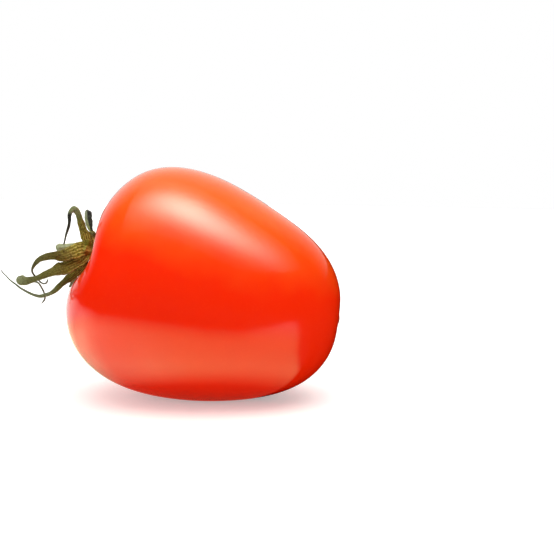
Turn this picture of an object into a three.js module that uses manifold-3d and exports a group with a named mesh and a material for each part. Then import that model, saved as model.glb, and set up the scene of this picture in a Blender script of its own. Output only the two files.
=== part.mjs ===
// A squat plum tomato lying on its side, in millimetres, +Z up.
// The origin is the centre of the small flat spot that it rests on. The stem end looks
// toward -X and a little up, the blossom end toward +X, and -Y is the front.

import * as THREE from 'three'
import { mergeVertices } from 'three/addons/utils/BufferGeometryUtils.js'
import Module from 'manifold-3d'

const wasm = await Module()
wasm.setup()

const degrees = Math.PI / 180

// Fruit: its stem axis is tilted, so that the stem end is the higher one.
const halfLength = 34
const radius = 28.45
const tilt = 18 * degrees
const centreX = 1.5
const centreZ = 32
const squareness = 2.95 // 2 is an ellipse, more gives fuller shoulders
const taper = 0.146 // how much slimmer the blossom end is
const sag = 0.164 // how much fuller the underside is
const endPinch = 0.024
const waistPinch = 0.023

// Stem end: a valley across it, a shallow dimple round the stalk, and puckers between.
const dimpleUp = -2.6
const dimpleDepth = 0.8
const dimpleRadius = 8
const valleyDepth = 6.6
const valleyHeight = 7.1
const valleyLength = 19.5
const puckerCount = 5
const puckerDepth = 0.3
const puckerRadius = 10

// Blossom end: a shallow hollow round the scar.
const hollowDepth = 0.5
const hollowRadius = 5

// Where the stalk's axis starts in the dimple, along the stem axis and up from it.
const stalkAlong = -26.9
const stalkUp = -2.5
const clearance = 0.3
const bladeThickness = 0.7
const leastWidth = 0.7
const bladeCup = 0.16 // how far a blade's edges stand back, for each unit of width

// Receptacle under the sepals: [radius, distance out from the start of the stalk's axis].
const receptacle = [[0, -2.4], [3.2, -2.4], [2.4, 2], [2.6, 4.4], [3.4, 5.9], [3.9, 6.7], [3.6, 7.4], [2, 7.8], [0, 7.8]]

// Stalk stub, from the receptacle to its broken end: [out, up, front, width].
const stalkRoute = [
  [8.4, -1, 0.2, 3], [9.2, -1.2, 0.2, 2.5], [10.2, -1.6, 0.3, 2.1], [11.9, -2.3, 0.5, 1.9],
  [13.4, -2.8, 0.8, 1.95], [14.2, -3.1, 1, 2.05], [14.6, -3.2, 1, 1.6], [14.9, -3.3, 1, 0.9],
]

// Sepals, clockwise from the top one as seen from outside the stem end. The three front
// ones are broad at the root and grow together there. A route holds [out, up, front,
// width], and a face is the direction that the blade's flat side looks in, as
// [out, up, front], at the root and at the tip.
const sepals = [
  {
    faces: [[0.3, 0, 0.95], [1, 0, 0.4]],
    route: [
      [6.6, 0, 1.4, 3.2], [7.4, 1.8, 2.6, 3.5], [8, 3.2, 3.6, 2.9], [8.9, 4.2, 4.1, 2.15],
      [9.6, 5.4, 4.5, 1.75], [10.4, 6.7, 4.8, 1.5], [11.2, 7.9, 5, 1.5], [11.9, 8.7, 5.3, 1.5],
      [12.6, 9, 5.6, 1.5], [13.1, 8.2, 5.9, 1.25], [13.1, 7.1, 6.1, 1.1], [12.7, 6, 6.3, 1],
      [12.4, 4.7, 6.4, 0.8], [12.4, 3.4, 6.4, 0.7], [12.4, 2.1, 6.3, 0.55], [12.3, 0.7, 6.2, 0.4],
      [12.2, -0.8, 6.2, 0.3],
    ],
  },
  {
    faces: [[0.2, 0.2, 1], [0.5, 0.1, 1]],
    route: [
      [6.4, -0.7, 1.8, 3], [7.3, -0.6, 3, 3.5], [8.1, -0.8, 4.2, 3.7], [8.9, -1.4, 5.8, 3.5],
      [9.8, -2, 7.2, 3.4], [10.6, -2.6, 8.5, 3.3], [11.7, -3.1, 9.5, 2.95], [12.8, -3.3, 10.3, 2.2],
      [13.9, -3.7, 10.9, 1.95], [15, -4.3, 11.3, 1.85], [16.1, -5.2, 11.5, 1.5],
      [16.8, -6.3, 11.5, 1.25], [17.3, -7.7, 11.2, 0.9], [17.4, -8.9, 10.8, 0.6],
      [17, -9.8, 10.3, 0.45], [16.2, -10.6, 9.6, 0.4], [15.4, -11.2, 9.1, 0.4], [14.7, -11.7, 8.8, 0.4],
      [13.9, -11.9, 8.6, 0.4], [13.3, -11.5, 8.5, 0.4], [13.1, -10.8, 8.5, 0.35],
      [13.1, -10.2, 8.5, 0.3],
    ],
  },
  {
    faces: [[0.15, 0.3, 1], [0.6, 0.5, 0.7]],
    route: [
      [6.4, -1.6, 1.4, 2.6], [6.6, -2.7, 2.6, 2.9], [7.2, -3.8, 4, 3.2], [8, -4.4, 5.7, 3.5],
      [8.8, -5.1, 7.3, 3.8], [9.6, -5.8, 8.8, 4], [10.5, -6.2, 10.2, 3.7], [11.4, -6.9, 11.3, 2.85],
      [12.4, -7.6, 12.1, 2.25], [13.4, -8.4, 12.6, 1.9], [14.4, -9.3, 12.9, 1.7],
      [15.5, -10.2, 13, 1.55], [16.7, -11, 12.9, 1.85], [18, -11.8, 12.5, 2.3],
      [19.2, -12.1, 11.8, 2.4], [20.1, -12.1, 10.8, 2], [19.9, -12.1, 9.7, 1.3], [18.8, -12.2, 9, 0.9],
      [17.2, -12.3, 8.5, 0.65], [15.9, -12.2, 8, 0.5], [15.1, -12.6, 7.6, 0.45],
      [14.3, -13.4, 7.3, 0.4], [13.3, -14.6, 7, 0.4], [12.7, -15.8, 7, 0.4], [12.8, -16.7, 7, 0.35],
      [13.2, -17.6, 7, 0.3],
    ],
  },
  {
    faces: [[0.2, 0.4, 0.9], [0.2, 1, 0.6]],
    route: [
      [6.5, -2.3, 0.8, 2.2], [6.3, -4.1, 1.6, 1.9], [6.5, -5.7, 2.6, 2.3], [7.2, -7.2, 3.9, 2.6],
      [8.1, -8.6, 5.4, 2.4], [8.9, -9.8, 6.6, 1.85], [9.7, -11.1, 7.7, 1.65], [10.4, -12.5, 8.6, 1.4],
      [11.3, -13.6, 9.2, 1.15], [12.4, -14.4, 9.5, 1.05], [13.6, -15.1, 9.6, 0.9],
      [14.9, -15.3, 9.6, 0.75], [16.3, -15.3, 9.5, 0.65], [17.8, -15.1, 9.4, 0.58],
      [19.4, -14.8, 9.3, 0.5], [20.9, -14.3, 9.2, 0.42], [22.5, -13.8, 9.1, 0.36], [24.1, -13, 9, 0.3],
      [25.1, -12.5, 9, 0.3], [25.7, -11.9, 9, 0.25],
    ],
  },
  {
    faces: [[0.8, 0.4, 0.6], [0.8, 0.4, 0.6]],
    route: [
      [6.7, -2.6, -0.4, 2.4], [7.5, -6.3, -2, 2.2], [8.4, -9.7, -4, 2], [9.2, -12.3, -5.6, 1.5],
      [9.7, -14.3, -6.6, 0.4],
    ],
  },
  {
    faces: [[1, 0.2, -0.2], [0.6, -0.2, -0.8]],
    route: [
      [7.1, -1.7, -1, 2.8], [7.7, -2.9, -3.8, 2.8], [8.5, -4.6, -6.8, 2.4], [9.5, -6.9, -9.4, 1.8],
      [11.1, -8.9, -11.4, 1.2], [11.8, -11.1, -12.2, 0.4],
    ],
  },
  {
    faces: [[0.7, 0, 0.7], [0.8, 0, 0.6]],
    route: [
      [6.4, -0.2, -0.6, 2.4], [6.9, 1.6, -2, 1.6], [7.8, 2.8, -3.4, 1.2], [8.7, 3.6, -4.6, 1.45],
      [9.5, 4.4, -5.6, 1.75], [10.3, 5.3, -6.4, 1.9], [10.8, 6.2, -7, 1.7], [11.3, 7, -7.4, 1.2],
      [11.5, 7.2, -7.6, 0.6],
    ],
  },
]

function squared(value) {
  return value * value
}

function bump(offset, width) {
  return Math.exp(-squared(offset / width))
}

// Pushes a point of the plain body in or out along the stem axis, near either end.
function endRelief(cosine, up, front) {
  const rise = up - dimpleUp
  const spread = Math.hypot(rise, front)
  if (cosine < 0) return -squared(cosine) * hollowDepth * bump(Math.hypot(up, front), hollowRadius)
  const dimple = dimpleDepth * bump(spread, dimpleRadius)
  const valley = valleyDepth * bump(rise, valleyHeight) * bump(front, valleyLength)
  const folds = Math.cos(puckerCount * Math.atan2(front, rise))
  const pucker = puckerDepth * folds * bump(spread - puckerRadius, dimpleRadius / 2)
  return squared(cosine) * (dimple + valley + pucker)
}

// A point of the skin. polar runs from the stem end, around from the top to the front.
function skinPoint(polar, around, grow) {
  const cosine = Math.cos(polar)
  const sine = Math.sin(polar)
  const ends = Math.abs(cosine / halfLength) ** squareness
  const sides = Math.abs(sine / radius) ** squareness
  const pinch = waistPinch * Math.cos(4 * polar) - endPinch * Math.cos(3 * polar)
  const plain = (ends + sides) ** (-1 / squareness)
  const reach = plain * (1 - sag * sine * Math.cos(around) + pinch) + grow
  const along = -reach * cosine
  const spread = reach * sine * (1 - taper * along / halfLength)
  const up = spread * Math.cos(around)
  const front = spread * Math.sin(around)
  return new THREE.Vector3(along + endRelief(cosine, up, front), -front, up)
}

// A closed skin over rings of points, from one end point through the rings to the other.
function closedSkin(first, rings, last) {
  const positions = [first, ...rings.flat(), last].flatMap((point) => point.toArray())
  const sides = rings[0].length
  const index = []
  for (let side = 0; side < sides; side++) {
    const next = (side + 1) % sides
    index.push(0, 1 + side, 1 + next)
    for (let ring = 0; ring < rings.length - 1; ring++) {
      const here = 1 + ring * sides
      const beyond = here + sides
      index.push(here + side, beyond + side, beyond + next)
      index.push(here + side, beyond + next, here + next)
    }
    const end = 1 + (rings.length - 1) * sides
    index.push(end + side, end + sides, end + next)
  }
  const geometry = new THREE.BufferGeometry()
  geometry.setAttribute('position', new THREE.Float32BufferAttribute(positions, 3))
  geometry.setIndex(index)
  return geometry
}

// The whole fruit round its own centre, untilted, with rings set closer at the stem end.
function fruitSkin(grow) {
  const ringCount = 44
  const sideCount = 64
  const crowding = 1.15
  const rings = []
  for (let ring = 1; ring < ringCount; ring++) {
    const polar = Math.PI * (ring / ringCount) ** crowding
    const points = []
    for (let side = 0; side < sideCount; side++) {
      points.push(skinPoint(polar, -2 * Math.PI * side / sideCount, grow))
    }
    rings.push(points)
  }
  return closedSkin(skinPoint(0, 0, grow), rings, skinPoint(Math.PI, 0, grow))
}

function asSolid(geometry) {
  const plain = geometry.clone()
  plain.deleteAttribute('normal')
  plain.deleteAttribute('uv')
  const merged = mergeVertices(plain)
  const vertProperties = new Float32Array(merged.attributes.position.array)
  const triVerts = new Uint32Array(merged.index.array)
  return new wasm.Manifold(new wasm.Mesh({ numProp: 3, vertProperties, triVerts }))
}

function asMesh(solid, name, color, roughness) {
  const { vertProperties, triVerts } = solid.getMesh()
  const geometry = new THREE.BufferGeometry()
  geometry.setAttribute('position', new THREE.BufferAttribute(vertProperties, 3))
  geometry.setIndex(new THREE.BufferAttribute(triVerts, 1))
  geometry.computeVertexNormals()
  const mesh = new THREE.Mesh(geometry, new THREE.MeshStandardMaterial({ color, roughness, metalness: 0 }))
  mesh.name = name
  return mesh
}

// The fruit where it lies, cut flat at the height of what it rests on.
function makeFruit() {
  const skin = fruitSkin(0).rotateY(tilt).translate(centreX, 0, centreZ)
  const below = new THREE.BoxGeometry(2 * radius, 2 * radius, radius).translate(0, 0, -radius / 2)
  return asMesh(asSolid(skin).subtract(asSolid(below)), 'fruit', 0xe0260c, 0.25)
}

// A place near the stem end: X runs inward along the stem axis, -Y to the front, Z up.
function stemPoint(out, up, front) {
  return new THREE.Vector3(-out, -front, up)
}

// The places, directions and widths along a route, about one step a millimetre.
function stations(route, faces, stepLength) {
  const curve = new THREE.CatmullRomCurve3(route.map(([out, up, front]) => stemPoint(out, up, front)))
  const steps = Math.ceil(curve.getLength() / stepLength)
  const [rootFace, tipFace] = faces.map(([out, up, front]) => stemPoint(out, up, front).normalize())
  const result = []
  for (let step = 0; step <= steps; step++) {
    const part = step / steps
    const spot = curve.getUtoTmapping(part) * (route.length - 1)
    const before = Math.min(Math.floor(spot), route.length - 2)
    const width = THREE.MathUtils.lerp(route[before][3], route[before + 1][3], spot - before)
    const tangent = curve.getTangentAt(part)
    const face = rootFace.clone().lerp(tipFace, part)
    const side = new THREE.Vector3().crossVectors(tangent, face).normalize()
    const normal = new THREE.Vector3().crossVectors(side, tangent)
    result.push({ point: curve.getPointAt(part), side, normal, width })
  }
  return result
}

// A blade's section: eight corners, blunt at both edges, with the edges standing back.
const bladeSection = [
  [-0.5, -0.25], [-0.25, -0.5], [0.25, -0.5], [0.5, -0.25], [0.5, 0.25], [0.25, 0.5], [-0.25, 0.5], [-0.5, 0.25],
]

function bladeRing({ point, side, normal, width: plainWidth }) {
  const width = Math.max(plainWidth, leastWidth)
  return bladeSection.map(([across, through]) => {
    const back = bladeCup * width * 4 * squared(across)
    const height = through * bladeThickness - back
    return point.clone().addScaledVector(side, across * width).addScaledVector(normal, height)
  })
}

function makeSepal({ faces, route }) {
  const places = stations(route, faces, 1.1)
  return asSolid(closedSkin(places[0].point, places.map(bladeRing), places.at(-1).point))
}

function makeStalkSolid(grow) {
  const sideCount = 12
  const places = stations(stalkRoute, [[0, 0, 1], [0, 0, 1]], 0.8)
  const rings = places.map(({ point, side, normal, width }) => {
    const points = []
    for (let corner = 0; corner < sideCount; corner++) {
      const angle = 2 * Math.PI * corner / sideCount
      const reach = width / 2 + grow
      const across = reach * Math.cos(angle)
      const through = reach * Math.sin(angle)
      points.push(point.clone().addScaledVector(side, across).addScaledVector(normal, through))
    }
    return points
  })
  return asSolid(closedSkin(places[0].point, rings, places.at(-1).point))
}

// Receptacle and sepals as one body, clear of the skin and of the stalk.
function makeCalyx() {
  const profile = receptacle.map(([reach, out]) => new THREE.Vector2(reach, out))
  const core = new THREE.LatheGeometry(profile, 20).rotateZ(Math.PI / 2)
  const fruit = fruitSkin(clearance).translate(-stalkAlong, 0, -stalkUp)
  let calyx = asSolid(core)
  for (const sepal of sepals) calyx = calyx.add(makeSepal(sepal))
  const clear = calyx.subtract(asSolid(fruit)).subtract(makeStalkSolid(clearance))
  return asMesh(clear, 'calyx', 0x7a6a1c, 0.8)
}

// The calyx and the stalk stand in the dimple and lean with the stem axis.
const stemEnd = new THREE.Group()
stemEnd.rotation.y = tilt
stemEnd.position.set(stalkAlong, 0, stalkUp).applyAxisAngle(new THREE.Vector3(0, 1, 0), tilt)
stemEnd.position.add(new THREE.Vector3(centreX, 0, centreZ))
stemEnd.add(makeCalyx(), asMesh(makeStalkSolid(0), 'stalk', 0xb9c79c, 0.7))

const group = new THREE.Group()
group.add(makeFruit(), stemEnd)

export default group
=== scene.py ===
# %% [markdown]
# # A ripe plum tomato on a pale floor
#
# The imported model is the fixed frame. Each of its three solids is replaced here by a finer
# mesh of the same form: the fruit's skin, the dried calyx and the short stalk. Every size
# of the tomato is in millimetres and becomes metres as a mesh is made. The floor, the
# lamps and the cards are measured in metres.

# %% Load the frame
import math

import bpy
import numpy as np
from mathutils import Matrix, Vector


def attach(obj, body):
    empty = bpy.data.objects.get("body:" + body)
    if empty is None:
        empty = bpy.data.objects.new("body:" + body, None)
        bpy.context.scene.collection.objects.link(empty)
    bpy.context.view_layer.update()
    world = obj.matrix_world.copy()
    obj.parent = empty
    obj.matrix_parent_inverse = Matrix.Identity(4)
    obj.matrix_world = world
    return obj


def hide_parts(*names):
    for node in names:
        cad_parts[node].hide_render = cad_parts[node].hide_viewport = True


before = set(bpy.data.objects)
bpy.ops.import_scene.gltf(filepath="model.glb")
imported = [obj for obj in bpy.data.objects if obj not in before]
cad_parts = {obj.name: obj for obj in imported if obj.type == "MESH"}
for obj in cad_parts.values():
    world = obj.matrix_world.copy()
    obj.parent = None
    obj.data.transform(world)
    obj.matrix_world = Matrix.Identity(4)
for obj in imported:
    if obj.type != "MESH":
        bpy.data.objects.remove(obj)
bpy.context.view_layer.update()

MM = 0.001

# %% [markdown]
# ## The driving dimensions
#
# A plum tomato grows round its stem axis. This one lies on its side, so the axis leans and
# the stem end is the higher one. Its form could be sculpted by hand, but one formula with
# a few dimensions, the same as the solid's, is easier to change: a squarish oval, tapered
# and fuller below, with a dimple in a valley at the stem end.

# %% Dimensions
HALF_LENGTH = 34
RADIUS = 28.45
TILT = math.radians(18)
CENTRE_X = 1.5
CENTRE_Z = 32
SQUARENESS = 2.95
TAPER = 0.146
SAG = 0.164
END_PINCH = 0.024
WAIST_PINCH = 0.023

DIMPLE_UP = -2.6
DIMPLE_DEPTH = 0.8
DIMPLE_RADIUS = 8
VALLEY_DEPTH = 6.6
VALLEY_HEIGHT = 7.1
VALLEY_LENGTH = 19.5
PUCKER_COUNT = 5
PUCKER_DEPTH = 0.3
PUCKER_RADIUS = 10

HOLLOW_DEPTH = 0.5
HOLLOW_RADIUS = 5
SCAR_RADIUS = 1.3

STALK_ALONG = -26.9
STALK_UP = -2.5


def bump(offset, width):
    """A smooth hill that is 1 in the middle and falls off over the width."""
    return np.exp(-np.square(offset / width))


def place(along, up, front):
    """Metres in the frame, from millimetres along, above and in front of the leaning axis."""
    x = CENTRE_X + along * math.cos(TILT) + up * math.sin(TILT)
    z = CENTRE_Z - along * math.sin(TILT) + up * math.cos(TILT)
    return np.stack(np.broadcast_arrays(x, -front, z), axis=-1) * MM


print("fruit along and across its axis, in mm:", 2 * HALF_LENGTH, 2 * RADIUS)

# %% [markdown]
# ## Mesh tools
#
# A piece is a closed skin over rings of points, as if turned on a lathe whose rings may
# shift and change. Curves with a bevel could make it too, but here each ring can have a
# section of its own. Numbers that the material needs, such as how far along a sepal a
# point is, go on the points as named attributes.

# %% Mesh tools
def make_piece(name, points, faces, values=()):
    """A smooth mesh object at the origin, with one float attribute for each named value."""
    mesh = bpy.data.meshes.new(name)
    mesh.from_pydata([tuple(point) for point in points], [], faces)
    for key, numbers in dict(values).items():
        attribute = mesh.attributes.new(key, "FLOAT", "POINT")
        attribute.data.foreach_set("value", np.asarray(numbers, dtype=np.float32).ravel())
    mesh.polygons.foreach_set("use_smooth", [True] * len(mesh.polygons))
    mesh.update()
    piece = bpy.data.objects.new(name, mesh)
    bpy.context.collection.objects.link(piece)
    return piece


def ring_faces(ring_count, side_count):
    """Quads between rings, and triangles from the end points to the outer rings."""
    side = np.arange(side_count)
    beyond = (side + 1) % side_count
    faces = [(0, 1 + b, 1 + a) for a, b in zip(side, beyond)]
    for ring in range(ring_count - 1):
        here = 1 + ring * side_count
        there = here + side_count
        faces += [(here + a, here + b, there + b, there + a) for a, b in zip(side, beyond)]
    end = 1 + (ring_count - 1) * side_count
    faces += [(end + a, end + b, end + side_count) for a, b in zip(side, beyond)]
    return [tuple(int(corner) for corner in face) for face in faces]


def claim(piece, node):
    """Attaches a piece to the root body and hides the frame's solid for its node."""
    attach(piece, "root")
    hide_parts(node)
    return piece


def declare(piece, node, material):
    """Gives a piece its material, attaches it to the root body and hides the frame's solid for its
    node.
    """
    piece.data.materials.append(material)
    return claim(piece, node)


def close_rings(rings):
    """The rings' points, or their values, between the mean of the first and of the last."""
    flat = rings.reshape(-1, *rings.shape[2:])
    return np.concatenate([rings[:1].mean(axis=1), flat, rings[-1:].mean(axis=1)])


print("faces over 3 rings of 4 points:", len(ring_faces(3, 4)))

# %% [markdown]
# ## The camera
#
# It looks down a little from the front, aimed beside the fruit's centre, so that the
# tomato stands in the left half of the square picture. A long lens from over half a metre
# away keeps the form free of strong perspective. It could be set by eye, but here it
# follows from how many pixels a millimetre covers.

# %% Camera
CAMERA_AZIMUTH = math.radians(8)
CAMERA_ELEVATION = math.radians(10)
CAMERA_DISTANCE = 560
PIXELS_PER_MM = 3.8
PICTURE_WIDTH = 554
SENSOR_WIDTH = 36
AIM_RIGHT = 17.246
AIM_UP = 0.26
CAMERA_CLIP = (0.01, 20)


def make_camera():
    sideways = Vector((math.cos(CAMERA_AZIMUTH), math.sin(CAMERA_AZIMUTH), 0))
    aim = Vector((CENTRE_X, 0, CENTRE_Z)) + AIM_RIGHT * sideways + Vector((0, 0, AIM_UP))
    back = Vector((
        math.sin(CAMERA_AZIMUTH) * math.cos(CAMERA_ELEVATION),
        -math.cos(CAMERA_AZIMUTH) * math.cos(CAMERA_ELEVATION),
        math.sin(CAMERA_ELEVATION),
    ))
    data = bpy.data.cameras.new("camera")
    data.sensor_width = SENSOR_WIDTH
    data.lens = PIXELS_PER_MM * CAMERA_DISTANCE / PICTURE_WIDTH * SENSOR_WIDTH
    data.clip_start, data.clip_end = CAMERA_CLIP
    camera = bpy.data.objects.new("camera", data)
    camera.location = (aim + CAMERA_DISTANCE * back) * MM
    camera.rotation_euler = back.to_track_quat("Z", "Y").to_euler()
    bpy.context.collection.objects.link(camera)
    bpy.context.scene.camera = camera
    return camera


camera = make_camera()
print("camera lens, in mm:", round(camera.data.lens, 1))

# %% [markdown]
# ## Shader tools
#
# A material could be wired by hand in the editor. Small helpers keep it short to read
# instead: one call makes a node and links or sets its inputs. Below, a name that ends in
# SPREAD holds a low and a high value, and what they become if that isn't 0 and 1.

# %% Shader tools
def set_inputs(node, inputs):
    """Links or sets each of a node's inputs that is given, by name or number."""
    for key, value in inputs.items():
        if isinstance(value, bpy.types.NodeSocket):
            node.id_data.links.new(value, node.inputs[key])
        else:
            node.inputs[key].default_value = value
    return node


def add_node(tree, kind, inputs=None, **settings):
    """Makes a node with its settings and inputs."""
    node = tree.nodes.new(kind)
    for key, value in settings.items():
        setattr(node, key, value)
    return set_inputs(node, inputs or {})


def ramp(tree, factor, stops):
    """A colour ramp from (position, colour) stops."""
    node = add_node(tree, "ShaderNodeValToRGB", {"Fac": factor})
    elements = node.color_ramp.elements
    while len(elements) < len(stops):
        elements.new(0.5)
    for element, (position, color) in zip(elements, stops):
        element.position = position
        element.color = (*color, 1)
    return node.outputs["Color"]


def spread(tree, value, low, high, to_low=0.0, to_high=1.0):
    """Maps a value from low and high to two other numbers, and stops at the ends."""
    node = add_node(tree, "ShaderNodeMapRange", {
        "Value": value, "From Min": low, "From Max": high, "To Min": to_low, "To Max": to_high,
    })
    return node.outputs["Result"]


def maths(tree, operation, first, second=0.0):
    return add_node(tree, "ShaderNodeMath", {0: first, 1: second}, operation=operation).outputs[0]


def times(tree, first, second):
    return maths(tree, "MULTIPLY", first, second)


def mix_colors(tree, factor, first, second):
    """Mixes two colours, each a socket or a tuple of three."""
    start, end = (
        color if isinstance(color, bpy.types.NodeSocket) else (*color, 1) for color in (first, second)
    )
    return add_node(tree, "ShaderNodeMix", {0: factor, 6: start, 7: end}, data_type="RGBA").outputs[2]


def attribute(tree, name):
    return add_node(tree, "ShaderNodeAttribute", attribute_name=name).outputs["Fac"]


def relief(tree, height, strength, depth):
    """A normal that follows a height, whose full step is a depth in millimetres."""
    inputs = {"Strength": strength, "Distance": depth * MM, "Height": height}
    return add_node(tree, "ShaderNodeBump", inputs).outputs["Normal"]


def new_material(name):
    material = bpy.data.materials.new(name)
    material.use_nodes = True
    tree = material.node_tree
    return material, tree, tree.nodes["Principled BSDF"]


def new_group(name, inputs):
    """An empty shader group with inputs, each (name, default), and one output, Mask."""
    group = bpy.data.node_groups.new(name, "ShaderNodeTree")
    for key, default in inputs:
        kind = "NodeSocketVector" if default is None else "NodeSocketFloat"
        socket = group.interface.new_socket(key, in_out="INPUT", socket_type=kind)
        if default is not None:
            socket.default_value = default
    group.interface.new_socket("Mask", in_out="OUTPUT", socket_type="NodeSocketFloat")
    return group, group.nodes.new("NodeGroupInput").outputs, group.nodes.new("NodeGroupOutput")


print("shader tools: nodes, ramps, spreads, products, mixes, reliefs and groups")

# %% [markdown]
# ## Two shared effects
#
# Uneven blotches break up every plant surface, and fibres run along a sepal or the stalk.
# Each could be built anew in every material, but a group is made once and gets its own
# values in each. The fibres are noise, stretched by the piece's own attributes: how far
# along and how far across a point is.

# %% Shared shader groups
FIBRE_SPREAD = (0.33, 0.67)


def make_blotches():
    inputs = [("Position", None), ("Size in mm", 8.0), ("Contrast", 1.0)]
    group, given, result = new_group("uneven blotches", inputs)
    noise = add_node(group, "ShaderNodeTexNoise", {
        "Vector": given["Position"], "Scale": maths(group, "DIVIDE", 1 / MM, given["Size in mm"]),
        "Detail": 3.0, "Roughness": 0.55,
    })
    centred = maths(group, "SUBTRACT", noise.outputs["Fac"], 0.5)
    wide = times(group, centred, given["Contrast"])
    lifted = add_node(group, "ShaderNodeMath", {0: wide, 1: 0.5}, operation="ADD", use_clamp=True)
    set_inputs(result, {"Mask": lifted.outputs[0]})
    return group


def make_fibres():
    inputs = [("Along", 0.0), ("Across", 0.0), ("Seed", 0.0), ("Fibres", 9.0)]
    group, given, result = new_group("fibres", inputs)
    across = times(group, given["Across"], given["Fibres"])
    spot = add_node(group, "ShaderNodeCombineXYZ", {
        "X": across, "Y": given["Along"], "Z": given["Seed"],
    })
    streaks = add_node(group, "ShaderNodeTexNoise", {
        "Vector": spot.outputs[0], "Scale": 1.6, "Detail": 4.0, "Roughness": 0.65,
    })
    set_inputs(result, {"Mask": spread(group, streaks.outputs["Fac"], *FIBRE_SPREAD)})
    return group


def blotch_mask(tree, size_in_mm, contrast):
    return add_node(tree, "ShaderNodeGroup", {
        "Position": add_node(tree, "ShaderNodeTexCoord").outputs["Object"],
        "Size in mm": size_in_mm, "Contrast": contrast,
    }, node_tree=blotches).outputs["Mask"]


def fibre_mask(tree, count):
    return add_node(tree, "ShaderNodeGroup", {
        "Along": attribute(tree, "travel"), "Across": attribute(tree, "across"),
        "Seed": attribute(tree, "seed"), "Fibres": count,
    }, node_tree=fibres).outputs["Mask"]


blotches = make_blotches()
fibres = make_fibres()
print("shared groups:", blotches.name, "and", fibres.name)

# %% [markdown]
# ## The fruit
#
# The skin follows the solid's formula on a much finer grid. On top come faint lobes, fine
# creases that run out of the dimple, and at the far end the blossom scar: a small raised
# pip in a shallow, lightly wrinkled hollow. A displacement map could draw these, but in
# the formula they are true shape, part of the mesh itself.

# %% Fruit shape
FRUIT_RINGS = 240
FRUIT_SIDES = 256
RING_CROWDING = 1.15
LOBE_HEIGHT = 0.004
LOBE_COUNT, LOBE_TURN = 3, 0.7
CREASE_COUNT = 17
CREASE_SHARPNESS = 3
CREASE_DEPTH = 0.004
CREASE_RADIUS = 5.5
CREASE_WANDER = 1.3
SCAR_HEIGHT = 0.4
SCAR_BACK = 3.5
SCAR_STAIN_RADIUS = 1.3 * SCAR_RADIUS
WRINKLE_DEPTH = 0.06
WRINKLE_COUNT = 11
WRINKLE_RADIUS = 2.6
WRINKLE_WIDTH = 1.6
STEM_STAIN_RADIUS = 7


def end_relief(cosine, up, front):
    """How far a point of the plain body moves along the axis: dimple, valley and puckers."""
    rise = up - DIMPLE_UP
    from_stem = np.hypot(rise, front)
    around = np.arctan2(front, rise)
    dimple = DIMPLE_DEPTH * bump(from_stem, DIMPLE_RADIUS)
    valley = VALLEY_DEPTH * bump(rise, VALLEY_HEIGHT) * bump(front, VALLEY_LENGTH)
    pucker_place = bump(from_stem - PUCKER_RADIUS, DIMPLE_RADIUS / 2)
    pucker = PUCKER_DEPTH * np.cos(PUCKER_COUNT * around) * pucker_place
    creases = np.abs(np.sin(CREASE_COUNT / 2 * around + CREASE_WANDER * np.sin(2 * around)))
    crease_place = bump(from_stem - CREASE_RADIUS, CREASE_RADIUS / 2)
    crease = CREASE_DEPTH * (1 - creases) ** CREASE_SHARPNESS * crease_place
    stem_end = dimple + valley + pucker + crease

    from_scar = np.hypot(up, front + SCAR_BACK)
    hollow = HOLLOW_DEPTH * bump(from_scar, HOLLOW_RADIUS)
    pip = SCAR_HEIGHT * bump(from_scar, SCAR_RADIUS)
    folds = np.cos(WRINKLE_COUNT * around) * bump(from_scar - WRINKLE_RADIUS, WRINKLE_WIDTH)
    far_end = pip - hollow + WRINKLE_DEPTH * folds
    return np.square(cosine) * np.where(cosine < 0, far_end, stem_end)


def skin_points(polar, around):
    """Along, up and front of points on the skin, from the stem end round to the far end."""
    cosine = np.cos(polar)
    sine = np.sin(polar)
    ends = np.abs(cosine / HALF_LENGTH) ** SQUARENESS
    sides = np.abs(sine / RADIUS) ** SQUARENESS
    pinch = WAIST_PINCH * np.cos(4 * polar) - END_PINCH * np.cos(3 * polar)
    lobes = LOBE_HEIGHT * np.square(sine) * np.cos(LOBE_COUNT * around + LOBE_TURN)
    reach = (ends + sides) ** (-1 / SQUARENESS) * (1 - SAG * sine * np.cos(around) + pinch + lobes)
    along = -reach * cosine
    across = reach * sine * (1 - TAPER * along / HALF_LENGTH)
    up = across * np.cos(around)
    front = across * np.sin(around)
    return along + end_relief(cosine, up, front), up, front


def make_fruit(material):
    polar = np.pi * (np.arange(FRUIT_RINGS + 1) / FRUIT_RINGS) ** RING_CROWDING
    around = -2 * np.pi * np.arange(FRUIT_SIDES) / FRUIT_SIDES
    grid = [part.reshape(-1) for part in skin_points(polar[1:-1, None], around[None, :])]
    ends = [skin_points(polar[index], np.pi) for index in (0, -1)]
    along, up, front = (
        np.concatenate([[ends[0][axis]], grid[axis], [ends[1][axis]]]) for axis in range(3)
    )
    points = place(along, up, front)
    points[:, 2] = np.maximum(points[:, 2], 0)
    from_stem = np.hypot(up - DIMPLE_UP, front)
    stem_side = along < 0
    values = {
        "stem": np.where(stem_side, bump(from_stem, STEM_STAIN_RADIUS), 0),
        "scar": np.where(stem_side, 0, bump(np.hypot(up, front + SCAR_BACK), SCAR_STAIN_RADIUS)),
        "top": up / RADIUS,
    }
    piece = make_piece("fruit_skin", points, ring_faces(FRUIT_RINGS - 1, FRUIT_SIDES), values)
    return declare(piece, "fruit", material)


print("fruit points to come:", (FRUIT_RINGS - 1) * FRUIT_SIDES + 2)
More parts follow.
